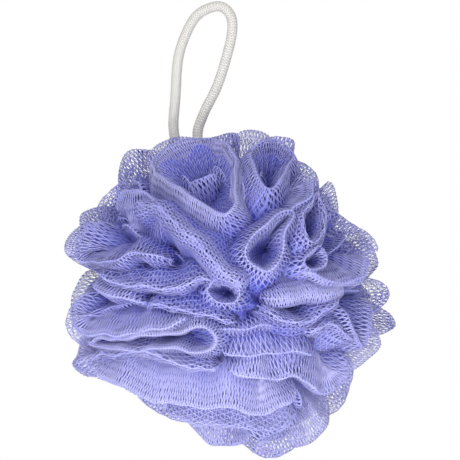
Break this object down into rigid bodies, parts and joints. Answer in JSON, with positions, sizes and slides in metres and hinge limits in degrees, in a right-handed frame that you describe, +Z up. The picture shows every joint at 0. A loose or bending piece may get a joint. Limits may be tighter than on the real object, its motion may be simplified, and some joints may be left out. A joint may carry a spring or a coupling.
{
  "type": "mesh bath pouf",
  "caption": "Ball of gathered net ruffles for washing, tied round its waist and hung by a braided cord loop.",
  "frame": {"origin": "inside top of the cord loop, where it hangs on a hook", "axes": "+Z up, +X to the right, -Y towards the front half of the ball; the waist is in the XZ plane"},
  "size_m": [0.1332, 0.1102, 0.1827],
  "materials": {
    "netting": "satin plastic net",
    "tie": "matte string",
    "cord": "matte braid"
  },
  "bodies": {
    "root": {"netting": "netting", "netting_back": "netting", "waist_tie": "tie", "hanging_cord": "cord", "cord_knot": "cord"}
  },
  "joints": []
}
